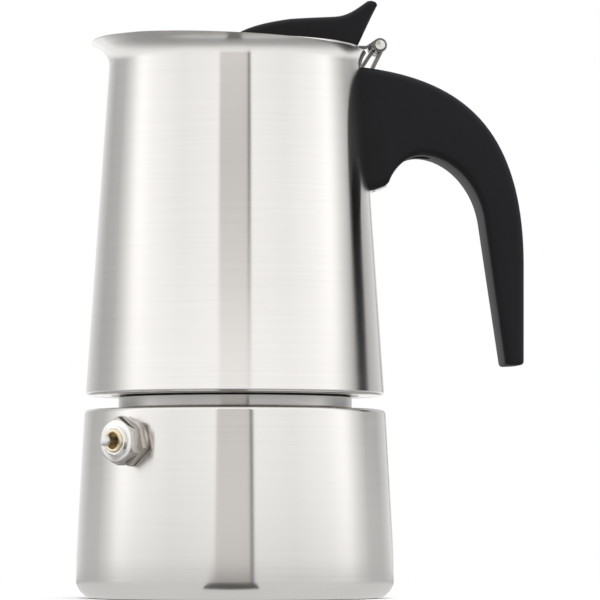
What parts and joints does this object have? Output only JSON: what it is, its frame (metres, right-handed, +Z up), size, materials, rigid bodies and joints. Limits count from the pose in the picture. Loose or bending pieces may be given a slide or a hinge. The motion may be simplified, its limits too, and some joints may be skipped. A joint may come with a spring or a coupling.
{
  "type": "moka pot",
  "caption": "Stainless steel stovetop moka pot with a conical jug, a screw-on boiler with a safety valve, and a black handle and lid knob.",
  "frame": {"origin": "centre of the underside of the boiler, on the surface that the pot stands on", "axes": "+Z up along the axis of the pot, +X towards the handle, -X towards the pouring lip"},
  "size_m": [0.1413, 0.1, 0.1892],
  "materials": {
    "steel": "finely brushed round the pot",
    "valve_steel": "bright turned steel",
    "brass": "turned",
    "rubber": "off-white silicone",
    "black_plastic": "satin heat-resistant moulding"
  },
  "bodies": {
    "boiler": {"boiler_shell": "steel", "funnel_basket": "steel", "funnel_sieve": "steel", "funnel_stem": "steel", "valve_boss": "steel", "valve_body": "valve_steel", "valve_locknut": "valve_steel", "valve_washer": "rubber", "valve_bush": "brass", "valve_spring": "valve_steel"},
    "valve_plunger": {"valve_pin": "valve_steel", "valve_poppet": "rubber"},
    "seal": {"gasket": "rubber", "filter_plate": "steel"},
    "jug": {"jug_shell": "steel", "jug_floor": "steel", "thread_collar": "steel", "column": "steel", "column_cap": "steel", "handle_bracket": "steel", "hinge_bracket": "steel", "hinge_pin": "valve_steel", "handle": "black_plastic", "handle_screw": "valve_steel", "handle_screw_washer": "valve_steel"},
    "lid": {"lid_plate": "steel", "lid_hinge_leaf": "steel", "knob": "black_plastic", "knob_screws": "valve_steel"}
  },
  "joints": [
    {"name": "jug_rise", "type": "slide", "parent": "boiler", "child": "seal", "axis": [0, 0, 1], "range_m": [0, 0.01013]},
    {"name": "jug_turn", "type": "hinge", "parent": "seal", "child": "jug", "pos_m": [0, 0, 0.07], "axis": [0, 0, 1], "range_deg": [0, 1215]},
    {"name": "lid_swing", "type": "hinge", "parent": "jug", "child": "lid", "pos_m": [0.04533, 0, 0.17475], "axis": [0, 1, 0], "range_deg": [0, 105]},
    {"name": "valve_lift", "type": "slide", "parent": "boiler", "child": "valve_plunger", "axis": [-0.7431, -0.6691, 0], "range_m": [0, 0.002], "stiffness_N_per_m": 1500, "springref_m": -0.0035, "deforming": ["valve_spring"]}
  ],
  "couplings": [
    {"joint": "jug_rise", "follows": "jug_turn", "m_per_rad": 0.00047746}
  ]
}
